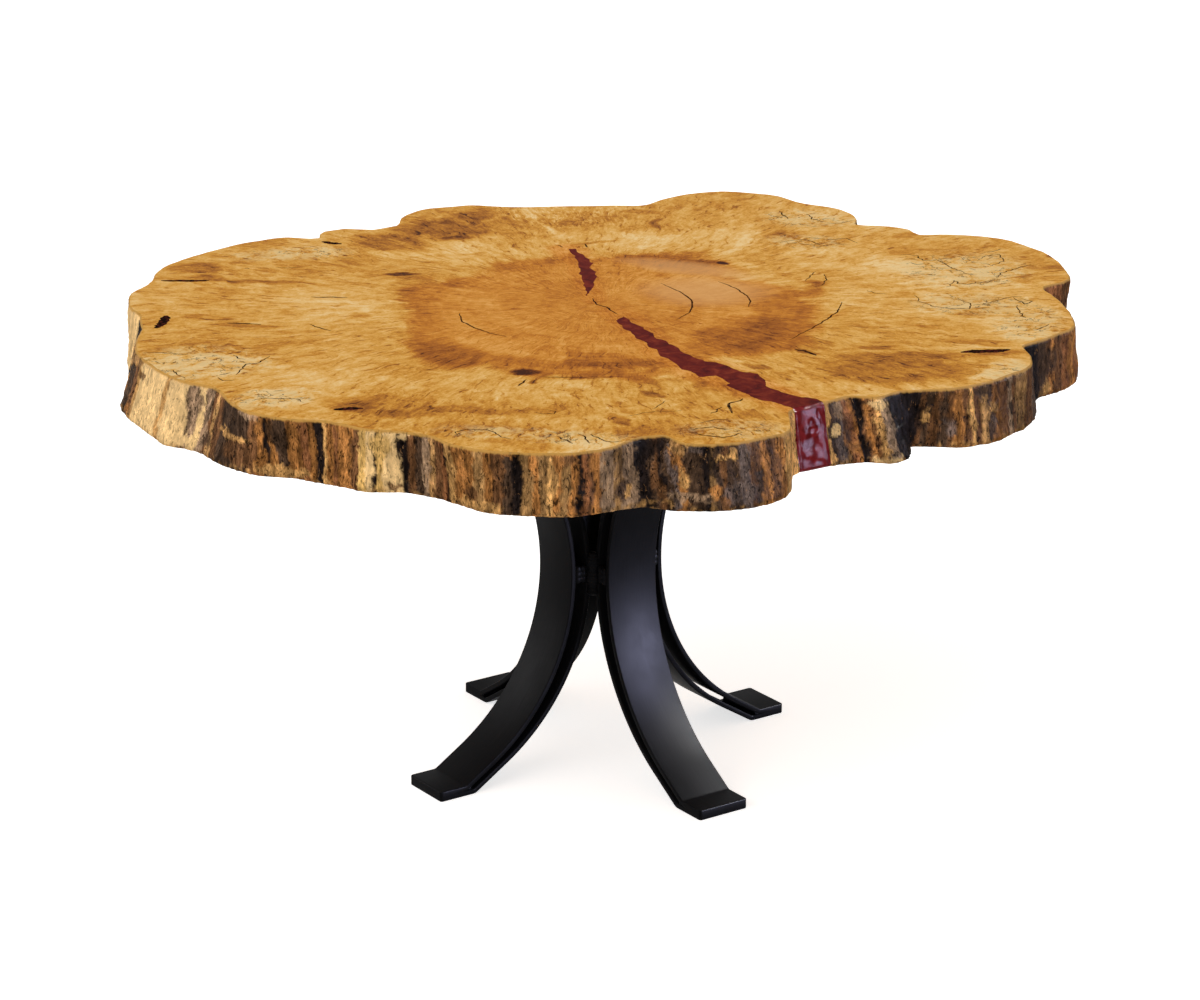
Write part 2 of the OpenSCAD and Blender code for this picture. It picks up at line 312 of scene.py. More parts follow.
# Smaller patches on it: degrees, height in mm, half width in degrees, half height in mm, colour
PATCHES = [
    (235.1, 443, 2.8, 10, CHARCOAL), (235.5, 430, 3.3, 3, OCHRE), (236.8, 417, 2.6, 12, UMBER),
    (238.1, 454, 1.6, 4, DRIFT), (241.9, 444, 1.4, 12, CHARCOAL), (242.3, 406, 3.1, 6, OCHRE),
    (229.7, 415, 1.1, 7, CHARCOAL), (226.3, 441, 1.2, 9, DRIFT), (224.8, 408, 2.2, 6, CREAM),
    (209.5, 452, 4.2, 6, TAN), (208.6, 420, 0.7, 7, AMBER), (212, 408, 1, 4, AMBER),
    (214.9, 444, 1.0, 5, UMBER), (254.6, 444, 1.3, 9, OLIVE), (255.8, 406, 0.5, 5, UMBER),
    (257.3, 453, 0.5, 4, CREAM), (260.4, 421, 0.5, 10, DRIFT), (265.9, 415, 0.7, 7, UMBER),
    (267, 405, 2.7, 5, OCHRE), (270.4, 455, 0.8, 2, AMBER), (275.1, 428, 0.5, 14, OCHRE),
    (276.6, 452, 0.9, 7, UMBER), (279.6, 446, 0.6, 9, AMBER), (282.6, 417, 1, 9, CHARCOAL),
    (283.3, 415, 0.4, 6, OCHRE), (286.3, 448, 1.4, 8, PITCH), (286.6, 421, 0.5, 13, UMBER),
    (289.1, 450, 0.6, 5, TAN), (290.6, 454, 1, 3, SLATE), (294.2, 446, 1.2, 2, OCHRE),
    (295.1, 448, 0.3, 5, OCHRE), (289.3, 426, 0.4, 7, OCHRE), (289.7, 412, 2.5, 3, DRIFT),
    (292.1, 439, 0.9, 10, PITCH), (295.7, 415, 2.1, 8, SLATE), (297.9, 443, 1, 11, UMBER),
    (292.9, 417, 1, 6, AMBER), (314.3, 448, 0.7, 9, DRIFT), (315.6, 415, 1, 6, AMBER),
    (318.4, 452, 0.4, 4, PITCH), (319.9, 450, 1.0, 5, CREAM), (319.5, 412, 0.5, 3, OCHRE),
    (319.7, 403, 1.7, 3, CREAM), (320.4, 428, 0.9, 15, DRIFT), (324.9, 428, 2.4, 21, PITCH),
    (327.2, 430, 0.4, 8, OCHRE), (329.4, 419, 0.4, 10, SLATE), (333.6, 450, 1.4, 5, CHARCOAL),
    (334.9, 432, 0.8, 6, OCHRE), (334.7, 421, 0.4, 5, SLATE), (338.8, 426, 0.5, 6, PITCH),
    (355.3, 410, 1, 8, OCHRE), (355.7, 434, 2, 14, CHARCOAL), (200, 430, 3, 20, PITCH),
    (203, 420, 1.5, 8, RUST), (313.5, 430, 0.95, 9, PITCH), (313.6, 430, 0.5, 5.5, CREAM),
]
BACK_PALETTE = [UMBER, CHARCOAL, AMBER, DRIFT, UMBER, OCHRE, RUST, PITCH, TAN, MOSS, SLATE, UMBER, CREAM]
BAND_BLEND = 0.2


def unseen_stretches():
    """More bands and patches, for the back of the live edge."""
    bands, patches, at, turn = [], [], 3.0, 0
    while at < 178:
        bands.append((at, BACK_PALETTE[turn * 5 % len(BACK_PALETTE)]))
        patches.append((at + 0.4, 428 + 24 * math.sin(7.3 * turn), 0.4 + abs(math.sin(3.1 * turn)),
                        4 + 7 * abs(math.sin(1.9 * turn)), BACK_PALETTE[turn * 7 % len(BACK_PALETTE)]))
        at += 0.7 + 1.9 * abs(math.sin(2.4 * turn))
        turn += 1
    return bands, patches


back_bands, back_patches = unseen_stretches()
BANDS = sorted((start % 360, colour) for start, colour in FRONT_BANDS + back_bands)
PATCHES += back_patches


def rough(place, across, up, shift=0):
    """The noise at a place, in so many lumps to a metre across and up."""
    return noise.noise(Vector((place.x * across + shift, place.y * across, place.z * up)))


def bark_colour(place):
    """The colour of the live edge at a place: its stretch, then the patches over it."""
    wander = 0.8 * rough(place, 40, 16) + 0.45 * rough(place, 170, 60) + 0.25 * rough(place, 500, 260)
    at = (bearing(place) + wander) % 360
    found = max([i for i, band in enumerate(BANDS) if band[0] <= at], default=-1)
    start, colour = BANDS[found]
    before = Vector(BANDS[found - 1][1])
    tint = before.lerp(Vector(colour), smoothstep(0, BAND_BLEND, (at - start) % 360))
    high = place.z / MM + 4 * rough(place, 130, 130, 5) + 3 * rough(place, 380, 300, 5)
    for turn, level, half_turn, half_high, colour in PATCHES:
        across = ((at - turn + 180) % 360 - 180) / half_turn
        if abs(across) < 1.2:
            away = math.hypot(across, (high - level) / half_high)
            tint = tint.lerp(Vector(colour), 0.85 * (1 - smoothstep(0.8, 1.15, away)))
    foot = place.z / MM - UNDER_Z / MM + 9 * noise.noise(Vector((place.x * 60, place.y * 60, 3)))
    chips = smoothstep(5, 2, foot) * smoothstep(0, 0.25, rough(place, 220, 150))
    return tint.lerp(Vector(OCHRE), 0.5 * chips)


RIDGES, GRAIN, LUMPS, CHIPS = 1.4, 0.9, 2.0, 1.0
BELOW_TOP = 7 * MM
ROUND_SHARE = 0.8


def relief(place, tint):
    """How far the live edge stands out, in metres: ridges, lumps, grain, and chips over dark pits."""
    x, y, z = place
    ridges = noise.fractal(Vector((x * 34, y * 34, z * 5)), 0.9, 2.1, 3)
    fine = noise.fractal(Vector((x * 170, y * 170, z * 40)), 0.5, 2.1, 4)
    lumps = rough(place, 32, 46)
    gnarl = smoothstep(-0.1, 0.5, rough(place, 9, 0, 7))
    chips = smoothstep(0, 0.22, tint.y) - 0.5
    below = smoothstep(0, BELOW_TOP, TOP_Z - z)
    return (RIDGES * ridges + (GRAIN * fine + gnarl * LUMPS * lumps + CHIPS * chips) * below) * MM


slab = walls_of("slab", "maple_slice", ROW_PITCH)
cut_level_edges(slab, is_bank, BANK_CUTS)
cut_level_edges(slab, is_rim, COLUMN_CUTS)
bank_verts = verts_of(slab, is_bank)
rim_verts = verts_of(slab, is_rim)
select(slab, "verts", lambda v: v.index in rim_verts and v.index not in bank_verts)
bpy.ops.mesh.vertices_smooth(factor=0.5, repeat=4, zaxis=False)
bpy.ops.object.mode_set(mode="OBJECT")
fray(slab, bank_verts)
bark = slab.data.color_attributes.new("bark", "FLOAT_COLOR", "POINT")
for index in rim_verts:
    vert = slab.data.vertices[index]
    place = vert.co.copy()
    tint = bark_colour(place)
    bark.data[index].color = (*tint, 1)
    out = Vector((place.x, place.y, 0)).normalized()
    edge = max(place.z - (TOP_Z - EDGE_ROUND), UNDER_Z + EDGE_ROUND - place.z, 0) / EDGE_ROUND
    round_out = EDGE_ROUND * (math.sqrt(max(1 - edge * edge, 0)) - (1 - edge))
    vert.co = place + out * (relief(place, tint) + round_out * ROUND_SHARE)

# Thin marks on the top, each a half width and points, in mm from the pith: checks that opened as
# the wood dried, the black zone lines of the spalting, and seams where bark grew in
CHECKS = [
    (0.9, [(-128, -50), (-119, -78), (-103, -97), (-86, -111), (-66, -122)]),
    (0.9, [(79, -35), (87, -12), (88, 11), (82, 36), (70, 58), (44, 90)]),
    (0.9, [(98, 106), (119, 84), (133, 60), (139, 40), (140, 21)]),
    (0.9, [(226, 54), (226, 20), (220, -7), (210, -40), (194, -84)]),
    (1.0, [(-13, 24), (-10, 16), (-4, 3), (6, -4), (14, -17), (22, -27)]),
    (1.3, [(-281, -20), (-263, -17), (-246, -15)]),
    (1.0, [(-259, -113), (-248, -122), (-233, -132)]),
    (2.2, [(203, -115), (212, -117), (225, -131)]),
    (1.6, [(-337, -123), (-322, -121), (-304, -121)]),
    (0.8, [(-84, 214), (-76, 207)]),
    (0.8, [(-14, -243), (7, -241), (24, -238)]),
    (1.0, [(-57, 224), (-52, 212)]),
    (1.0, [(-26, -275), (-22, -253)]),
]
SPALT_LINES = [
    (0.7, [(293, 92), (298, 72), (314, 55), (333, 50), (348, 52), (349, 71), (335, 84), (324, 88)]),
    (0.7, [(350, 64), (365, 75), (378, 95), (394, 107)]),
    (0.7, [(387, 100), (400, 78), (406, 90), (396, 98)]),
    (0.7, [(393, 74), (397, 52), (403, 30)]),
    (0.7, [(407, -13), (418, -8), (428, 12)]),
    (0.7, [(321, 124), (326, 152), (330, 140), (341, 140), (347, 149), (357, 147), (366, 163)]),
    (0.7, [(367, 170), (367, 187), (377, 200), (395, 227)]),
    (0.7, [(259, 239), (278, 240), (287, 222), (300, 225), (309, 216), (317, 198), (326, 191), (339, 174)]),
    (0.6, [(274, 211), (283, 205), (289, 210)]),
    (0.6, [(340, 229), (347, 249), (361, 257), (366, 233), (357, 215), (344, 222)]),
    (0.6, [(348, 263), (362, 280)]),
    (0.9, [(119, 392), (132, 362)]),
    (0.9, [(148, 385), (157, 366), (167, 358)]),
    (0.7, [(173, 351), (188, 353), (199, 366)]),
    (0.7, [(137, 263), (149, 277), (162, 281), (178, 266), (164, 262), (151, 267)]),
    (0.7, [(159, 290), (177, 287), (192, 286), (200, 294), (215, 277)]),
    (0.6, [(181, 122), (186, 160)]),
    (0.7, [(199, 107), (202, 128), (197, 152)]),
    (0.6, [(245, 99), (256, 92), (266, 91)]),
    (1.4, [(178, -277), (175, -284), (169, -291), (168, -299), (176, -322)]),
    (0.8, [(163, -305), (161, -316), (157, -325)]),
    (0.9, [(147, -375), (153, -370), (164, -364), (177, -370)]),
    (1.1, [(147, -382), (158, -388), (175, -392), (184, -388), (192, -375)]),
    (0.7, [(153, -355), (163, -342), (177, -341)]),
    (0.6, [(5, -349), (12, -352), (21, -351), (22, -342), (13, -339)]),
    (0.8, [(-49, -427), (-52, -418), (-44, -410), (-33, -406), (-22, -410), (-9, -425), (0, -430)]),
    (0.9, [(38, -414), (42, -420), (47, -424), (54, -432)]),
    (0.8, [(54, -404), (58, -408), (68, -428)]),
    (0.8, [(64, -404), (70, -409), (78, -418), (86, -422), (96, -417)]),
    (0.5, [(86, -347), (99, -334), (109, -328), (131, -321)]),
    (0.5, [(105, -320), (112, -296)]),
    (0.8, [(-284, -286), (-283, -251), (-274, -246), (-269, -222)]),
    (0.7, [(-298, -289), (-289, -280)]),
    (0.7, [(-299, -297), (-290, -305), (-281, -304)]),
    (0.7, [(-385, -232), (-368, -229), (-343, -231)]),
    (0.7, [(-303, -224), (-297, -234), (-289, -236)]),
    (0.7, [(-345, -281), (-338, -291), (-326, -305)]),
    (0.7, [(-249, -360), (-239, -351), (-227, -351), (-210, -348), (-202, -358)]),
    (0.6, [(-238, -328), (-227, -328)]),
    (0.6, [(-342, 79), (-330, 81), (-316, 86)]),
    (0.6, [(-374, 70), (-366, 70)]),
    (0.6, [(-290, 126), (-276, 129)]),
]
BARK_SEAMS = [
    (5.2, [(355, -96), (370, -91), (384, -87), (399, -80)]),
    (3.4, [(-441, 12), (-430, 13), (-412, 16), (-394, 21)]),
    (5.0, [(-171, -373), (-158, -368), (-147, -365)]),
    (5.0, [(-401, -108), (-398, -122), (-397, -138), (-398, -152)]),
    (4.0, [(-322, 186), (-312, 181), (-300, 180)]),
]
LINE_STEP = 2.0


def drawn(kind, wander, lines):
    """The two sides, in mm, of each of some thin lines that wander and taper to their ends."""
    sides = []
    for half, points in lines:
        path = []
        for a, b in zip(points, points[1:]):
            steps = max(1, round(math.dist(a, b) / LINE_STEP))
            path += [Vector(a).lerp(Vector(b), k / steps) for k in range(steps)]
        path.append(Vector(points[-1]))
        path = [p + wander * noise.noise_vector(Vector((p.x * 0.16, p.y * 0.16, half))).xy for p in path]
        right, left = [], []
        last = len(path) - 1
        for k, p in enumerate(path):
            along = (path[min(k + 1, last)] - path[max(k - 1, 0)]).normalized()
            swell = 1 + 0.5 * noise.noise(Vector((p.x * 0.4, p.y * 0.4, 9)))
            width = half * swell * (0.25 + 0.75 * abs(math.sin(math.pi * k / last)) ** 0.6)
            right.append(p + Vector((along.y, -along.x)) * width)
            left.append(p - Vector((along.y, -along.x)) * width)
        sides.append((kind, right, left))
    return sides


for face in slab.data.polygons:
    face.material_index = LIVE_EDGE
    face.use_smooth = True
close_flat_face(slab, UNDER_Z)
close_flat_face(slab, TOP_Z, drawn(CHECK, 1.2, CHECKS) + drawn(ZONE_LINE, 2.2, SPALT_LINES)
                + drawn(SEAM, 1.0, BARK_SEAMS))


class Finish:
    """A surface finish, built up node by node around one Principled shader."""

    def __init__(self, name):
        self.material = bpy.data.materials.new(name)
        self.material.use_nodes = True
        self.tree = self.material.node_tree
        self.shader = self.tree.nodes["Principled BSDF"]
        self.place = self.add("TexCoord").outputs["Object"]

    def add(self, kind, inputs=(), **settings):
        made = self.tree.nodes.new("ShaderNode" + kind)
        for key, value in settings.items():
            setattr(made, key, value)
        for socket, value in dict(inputs).items():
            self.set(made.inputs[socket], value)
        return made

    def set(self, socket, value):
        if isinstance(value, bpy.types.NodeSocket):
            self.tree.links.new(value, socket)
        elif socket.type == "RGBA" and len(value) == 3:
            socket.default_value = (*value, 1)
        else:
            socket.default_value = value

    def shade(self, **inputs):
        for name, value in inputs.items():
            self.set(self.shader.inputs[name.replace("_", " ").title().replace("Ior", "IOR")], value)

    def math(self, operation, a, b=0.0, c=0.0):
        return self.add("Math", {0: a, 1: b, 2: c}, operation=operation).outputs[0]

    def times(self, value, *others):
        for other in others:
            value = self.math("MULTIPLY", value, other)
        return value

    def vector(self, operation, a, b=(0, 0, 0)):
        return self.add("VectorMath", {0: a, 1: b}, operation=operation).outputs[0]

    def measure(self, operation, a, b=(0, 0, 0)):
        return self.add("VectorMath", {0: a, 1: b}, operation=operation).outputs["Value"]

    def join(self, x=0.0, y=0.0, z=0.0):
        return self.add("CombineXYZ", {0: x, 1: y, 2: z}).outputs[0]

    def noise(self, vector, scale, detail=2.0, roughness=0.5, distortion=0.0):
        return self.add("TexNoise", {
            "Vector": vector, "Scale": scale, "Detail": detail, "Roughness": roughness,
            "Distortion": distortion,
        }).outputs["Fac"]

    def between(self, value, low, high, to_low=0.0, to_high=1.0):
        """Goes smoothly from to_low to to_high as value goes from low to high."""
        return self.add("MapRange", {
            "Value": value, "From Min": low, "From Max": high, "To Min": to_low, "To Max": to_high,
        }, interpolation_type="SMOOTHSTEP", clamp=False).outputs["Result"]

    def mix(self, share, a, b, blend="MIX"):
        made = self.add("Mix", data_type="RGBA", blend_type=blend)
        self.set(made.inputs["Factor"], share)
        self.set(made.inputs[6], a)
        self.set(made.inputs[7], b)
        return made.outputs[2]

    def ramp(self, value, stops):
        """The colour that value, from 0 to 1, has between the given stops."""
        made = self.add("ValToRGB", {0: value})
        marks = made.color_ramp.elements
        while len(marks) < len(stops):
            marks.new(1.0)
        for mark, (at, colour) in zip(marks, stops):
            mark.position = at
            mark.color = (*colour, 1)
        return made.outputs["Color"]

    def bump(self, height, strength, distance):
        return self.add("Bump", {
            "Height": height, "Strength": strength, "Distance": distance,
        }).outputs["Normal"]

    def shaken(self, vector, scale, reach, detail=2.0):
        """The vector, shaken about by a noise so that what is drawn on it gets a ragged outline."""
        shake = self.add("TexNoise", {"Vector": vector, "Scale": scale, "Detail": detail}).outputs["Color"]
        centred = self.vector("SUBTRACT", shake, (0.5, 0.5, 0.5))
        return self.vector("ADD", vector, self.vector("MULTIPLY", centred, (reach, reach, reach)))

    def rays(self, vector, stretch):
        """The vector round the pith: its bearing, and its distance squeezed, for grain that fans out."""
        level = self.vector("MULTIPLY", vector, (1, 1, 0))
        squeezed = self.join(z=self.times(self.measure("LENGTH", level), stretch))
        return self.vector("ADD", self.vector("NORMALIZE", level), squeezed)

    def spot(self, vector, x, y, half_x, half_y, turn=0.0, soft=0.6):
        """1 inside an ellipse on the top, sizes in mm, falling to 0 over the soft share of it."""
        reach = self.vector("SUBTRACT", vector, (x * MM, y * MM, 0))
        lean = Vector((math.cos(math.radians(turn)), math.sin(math.radians(turn)), 0))
        along = self.measure("DOT_PRODUCT", reach, lean / (half_x * MM))
        across = self.measure("DOT_PRODUCT", reach, Vector((-lean.y, lean.x, 0)) / (half_y * MM))
        away = self.math("MULTIPLY_ADD", along, along, self.times(across, across))
        return self.between(away, 1.0, (1.0 - soft) ** 2)

    def near(self, vector, points):
        """How far the vector is from a line through points on the top, given in mm."""
        nearest = None
        for a, b in zip(points, points[1:]):
            start = Vector((*a, 0)) * MM
            run = Vector((*b, 0)) * MM - start
            reach = self.vector("SUBTRACT", self.vector("MULTIPLY", vector, (1, 1, 0)), start)
            share = self.measure("DOT_PRODUCT", reach, run / run.length_squared)
            share = self.math("MAXIMUM", self.math("MINIMUM", share, 1.0), 0.0)
            foot = self.add("VectorMath", {0: run, "Scale": share}, operation="SCALE").outputs[0]
            off = self.measure("DISTANCE", reach, foot)
            nearest = self.math("MINIMUM", nearest, off) if nearest else off
        return nearest

    def total(self, start, *parts):
        """start plus each (value, weight) of parts."""
        for value, weight in parts:
            start = self.math("MULTIPLY_ADD", value, weight, start)
        return start


TONES = [
    (0.0, (0.055, 0.016, 0.006)), (0.18, (0.21, 0.066, 0.011)), (0.34, (0.38, 0.138, 0.020)),
    (0.48, (0.52, 0.212, 0.026)), (0.60, (0.63, 0.298, 0.046)), (0.72, (0.71, 0.380, 0.088)),
    (0.86, (0.78, 0.470, 0.155)), (1.0, (0.83, 0.58, 0.27)),
]
GREY_CREAM = (0.66, 0.46, 0.20)
ORANGE = (0.98, 0.74, 0.60)
SALMON = (0.66, 0.33, 0.115)
INK = (0.035, 0.018, 0.009)
FAINT_GLOSS = 0.002

top = Finish("clear_coated_spalted_maple")
flat = top.shaken(top.place, 9.0, 0.035)
rough_flat = top.shaken(flat, 60.0, 0.014, 4.0)

cloud = top.noise(flat, 7.0, 3.0, 0.55)
blotch = top.noise(rough_flat, 20.0, 5.0, 0.62, 0.8)
strands = top.noise(top.rays(rough_flat, 1.1), 26.0, 6.0, 0.66, 0.5)
threads = top.noise(top.rays(flat, 0.7), 105.0, 4.0, 0.7, 0.4)
mottle = top.noise(rough_flat, 75.0, 5.0, 0.72, 1.0)
flecks = top.noise(top.rays(rough_flat, 0.6), 75.0, 3.0, 0.6)
pores = top.noise(top.place, 420.0, 2.0, 0.6)

# The heart, a rounded patch of darker wood with a brown border, and the growth rings round the pith
HEART_X, HEART_Y = 10 * MM, -18 * MM
HEART_HALF_X, HEART_HALF_Y = 197 * MM, 222 * MM
RING_TURNS, BROAD_RING_TURNS = 640.0, 175.0
heart_reach = top.vector("SUBTRACT", flat, (HEART_X, HEART_Y, TOP_Z))
heart_reach = top.vector("MULTIPLY", heart_reach, (1 / HEART_HALF_X, 1 / HEART_HALF_Y, 0))
heart_off = top.total(top.measure("LENGTH", heart_reach), (strands, 0.05), (blotch, 0.22), (cloud, 0.75))
heart = top.between(heart_off, 1.57, 1.46)
border = top.times(heart, top.between(heart_off, 1.24, 1.50))
pith_off = top.measure("LENGTH", top.vector("MULTIPLY", flat, (1, 1, 0)))
rings = top.math("SINE", top.times(top.total(pith_off, (blotch, 0.008)), RING_TURNS))
broad_rings = top.math("SINE", top.times(top.total(pith_off, (cloud, 0.02)), BROAD_RING_TURNS))
ring_share = top.times(heart, top.between(cloud, 0.36, 0.56))

darker = [
    # x, y, half width, half height, turn, how much darker
    (145, -75, 46, 84, -20, 0.26), (45, -182, 62, 34, -10, 0.20), (40, 172, 78, 30, -8, 0.17),
    (172, 20, 30, 80, 0, 0.07), (-165, -70, 30, 95, 15, 0.05), (-110, -185, 80, 30, -35, 0.08),
    (-150, 125, 46, 50, -30, 0.06), (305, -160, 112, 58, 22, 0.33), (330, -110, 80, 14, 12, 0.12),
    (-190, 222, 16, 12, 30, 0.36), (-215, 250, 70, 54, 30, 0.34), (-250, 190, 60, 36, -28, 0.34),
    (-190, 315, 26, 22, 10, 0.30), (-135, 295, 70, 26, 5, 0.10), (-24, 362, 30, 12, 0, 0.26),
    (0, 318, 9, 28, 0, 0.30), (-274, 165, 56, 18, 8, 0.12), (-425, 60, 34, 26, -10, 0.30),
    (-418, 22, 48, 15, 8, 0.28), (-340, 26, 62, 9, 6, 0.30), (-218, 74, 19, 8, 4, 0.60),
    (-218, -72, 16, 13, 0, 0.30), (-360, -104, 34, 12, 6, 0.26), (-315, -122, 40, 9, 4, 0.26),
    (-158, -358, 28, 22, 25, 0.26), (-130, -345, 58, 36, 15, 0.16), (-27, -229, 17, 14, 0, 0.50),
    (-9, -254, 6, 8, 0, 0.45), (30, -238, 48, 6, 12, 0.26), (23, -414, 10, 9, 0, 0.36),
    (55, -404, 9, 7, 0, 0.24), (100, -335, 34, 12, 10, 0.12), (108, -385, 46, 40, 0, 0.16),
    (-50, -352, 60, 14, 0, 0.20), (-110, -372, 46, 16, 10, 0.20), (100, -279, 18, 9, -38, 0.42),
    (79, -361, 22, 9, -58, 0.42), (172, -178, 22, 8, -18, 0.34), (130, 296, 12, 26, -10, 0.32),
    (95, 176, 9, 8, 0, 0.60), (215, -121, 20, 8, -28, 0.28), (276, -95, 14, 11, 0, 0.30),
    (-46, 236, 26, 5, 40, 0.28), (-62, 170, 30, 12, 70, 0.10), (330, -10, 60, 12, 4, 0.10),
    (150, -240, 46, 24, -40, 0.16), (200, -330, 40, 40, 0, 0.10), (350, -58, 62, 7, 3, 0.18),
    (395, -95, 30, 12, 15, 0.20), (-160, 165, 26, 5, 48, 0.20), (-180, 55, 60, 6, -16, 0.18),
    (0, -340, 80, 32, 0, 0.14), (20, -405, 110, 26, 0, 0.08), (-300, -215, 40, 20, 20, 0.14),
    (-20, -196, 66, 24, 0, 0.10), (-395, 165, 40, 36, 60, 0.10), (405, 245, 30, 60, 30, 0.10),
    (250, 60, 10, 60, 0, 0.06),
]
lighter = [
    (-335, -265, 88, 62, 30, 0.28), (-228, -350, 52, 36, 40, 0.22), (-400, -190, 40, 40, 0, 0.07),
    (-430, -50, 30, 60, 0, 0.08), (400, -150, 32, 46, -25, 0.34), (335, 180, 100, 100, 0, 0.14),
    (400, 20, 52, 100, 0, 0.16), (190, -365, 50, 34, 15, 0.12), (60, -425, 60, 14, 0, 0.14),
    (-15, -415, 46, 16, 0, 0.14), (150, 368, 56, 34, -20, 0.16), (-120, 345, 40, 44, 0, 0.20),
    (100, 262, 9, 66, -12, 0.22), (60, 262, 150, 56, 0, 0.16), (-96, 268, 5, 40, 35, 0.22),
    (-40, 255, 60, 50, 0, 0.06), (-8, -150, 6, 66, 12, 0.14), (-75, -150, 66, 30, -40, 0.14),
    (80, 78, 66, 56, -30, 0.16), (120, -10, 44, 66, 0, 0.10), (-250, -40, 60, 130, 8, 0.06),
    (-340, 128, 66, 30, 20, 0.14), (265, 110, 80, 140, 0, 0.14), (350, -82, 66, 8, 10, 0.16),
    (-300, 0, 110, 70, 0, 0.07), (-180, -290, 100, 50, -20, 0.08), (215, 205, 90, 60, -30, 0.18),
    (-170, 165, 60, 56, 30, 0.14), (300, 20, 110, 60, 0, 0.10), (-110, -90, 56, 46, 0, 0.05),
]
spalted = [
    (-335, -262, 92, 66, 30), (-228, -350, 50, 34, 40), (335, 195, 84, 88, 0), (350, 70, 74, 50, 0),
    (410, 10, 40, 74, 0), (180, -368, 62, 36, 15), (20, -412, 110, 24, 0), (150, 366, 58, 46, -20),
    (165, 275, 56, 30, 0), (-340, 130, 76, 34, 20), (400, -150, 30, 44, -25),
]
mould = top.spot(rough_flat, *spalted[0])
for where in spalted[1:]:
    mould = top.math("MAXIMUM", mould, top.spot(rough_flat, *where))

river_off = top.near(rough_flat, [(20, -28), (60, -92), (108, -180), (152, -222), (205, -262), (240, -290)])
pocket_off = top.near(rough_flat, [(-68, 204), (-42, 140), (-24, 70), (-12, 20)])
amber_halo = top.math("MAXIMUM", top.between(river_off, 0.040, 0.012), top.between(pocket_off, 0.026, 0.007))

comb = top.times(top.spot(flat, -105, 335, 80, 62, 0, 0.5), top.between(threads, 0.5, 0.6, -1.0, 1.0))
figure = top.total(-1.56, (blotch, 0.56), (strands, 0.95), (threads, 0.50), (mottle, 0.74), (pores, 0.36))
figure = top.total(figure, (top.between(flecks, 0.58, 0.68), -0.30), (top.between(flecks, 0.38, 0.28), 0.12))
lively = top.total(0.94, (heart, -0.24), (mould, 0.7))
tone = top.total(
    0.668, (top.math("SUBTRACT", cloud, 0.5), 0.60), (top.times(figure, lively), 1.0),
    (heart, -0.115), (border, -0.11), (comb, 0.08), (top.times(ring_share, rings), 0.022),
    (top.times(ring_share, broad_rings), 0.030), (amber_halo, -0.05),
)
for *where, weight in darker:
    tone = top.total(tone, (top.spot(rough_flat, *where), -weight * 0.85))
for *where, weight in lighter:
    tone = top.total(tone, (top.spot(rough_flat, *where, soft=0.9), weight))
colour = top.ramp(tone, TONES)
warm = top.math("MAXIMUM", top.times(amber_halo, 0.75), top.times(heart, 0.55))
colour = top.mix(warm, colour, top.mix(1.0, colour, ORANGE, "MULTIPLY"))
pale = top.math("MAXIMUM", top.spot(flat, 88, 66, 80, 66, 0, 0.9), top.spot(flat, 60, 150, 90, 30, -15, 0.9))
colour = top.mix(top.times(pale, 0.7), colour, SALMON)
greyed = top.times(mould, top.between(mottle, 0.42, 0.60, 0.0, 0.55))
colour = top.mix(greyed, colour, GREY_CREAM)

# Faint zone lines between the drawn ones, only where the wood is spalted
contour = top.noise(rough_flat, 30.0, 4.0, 0.62)
hairs = top.between(top.math("ABSOLUTE", top.math("SUBTRACT", contour, 0.52)), 0.014, 0.004)
broken = top.between(top.noise(flat, 60.0, 2.0), 0.44, 0.54)
hairs = top.times(hairs, broken, mould)
colour = top.mix(top.times(hairs, 0.7), colour, INK)
top.shade(base_color=colour, roughness=0.30, specular_ior_level=FAINT_GLOSS)

wall = Finish("live_edge_maple")


def upright(squash, *settings):
    """A noise on the live edge that runs up and down, the more its height is squashed."""
    return wall.noise(wall.vector("MULTIPLY", wall.place, (1, 1, squash)), *settings)


streak = upright(0.13, 130.0, 5.0, 0.68, 0.6)
broad_streak = upright(0.13, 42.0, 4.0, 0.6, 0.3)
fibre = upright(0.28, 480.0, 4.0, 0.8, 0.4)
crumbs = upright(0.5, 200.0, 6.0, 0.78, 0.8)
crackle = upright(0.34, 260.0, 5.0, 0.7, 1.6)
patchy = upright(0.7, 60.0, 6.0, 0.72, 0.9)
bark = wall.add("Attribute", attribute_name="bark").outputs["Color"]
# Light and dark over the bark's colour: partly its own streaky grain and fibre, partly painted shade of its
# rough relief, darkest in the cracks of the crackle.
light = wall.between(streak, 0.34, 0.66, 0.55, 1.36)
for pattern, *levels in (
    (broad_streak, 0.3, 0.7, 0.80, 1.46), (fibre, 0.36, 0.64, 0.66, 1.40),
    (patchy, 0.34, 0.66, 0.60, 1.36), (crackle, 0.39, 0.45, 0.25, 1.12),
):
    light = wall.times(light, wall.between(pattern, *levels))

# Bare pale wood is smoother than bark, so it has less of this grain and painted shade
bare = wall.between(wall.measure("DOT_PRODUCT", bark, (1, 0, 0)), 0.42, 0.66)
light = wall.total(light, (wall.times(bare, wall.math("SUBTRACT", 1.02, light)), 0.62))
tint = wall.mix(1.0, bark, wall.join(light, light, light), "MULTIPLY")
loose = wall.times(wall.between(crumbs, 0.60, 0.66, 0.0, 0.6), wall.math("SUBTRACT", 1.0, bare))
tint = wall.mix(loose, tint, (0.40, 0.20, 0.08))
# Painted shade: near black in the pits of the bark, where the bump below dents it.
holes = wall.times(wall.between(crumbs, 0.40, 0.34, 0.0, 0.85), wall.total(1.0, (bare, -0.7)))
tint = wall.mix(holes, tint, (0.018, 0.010, 0.006))
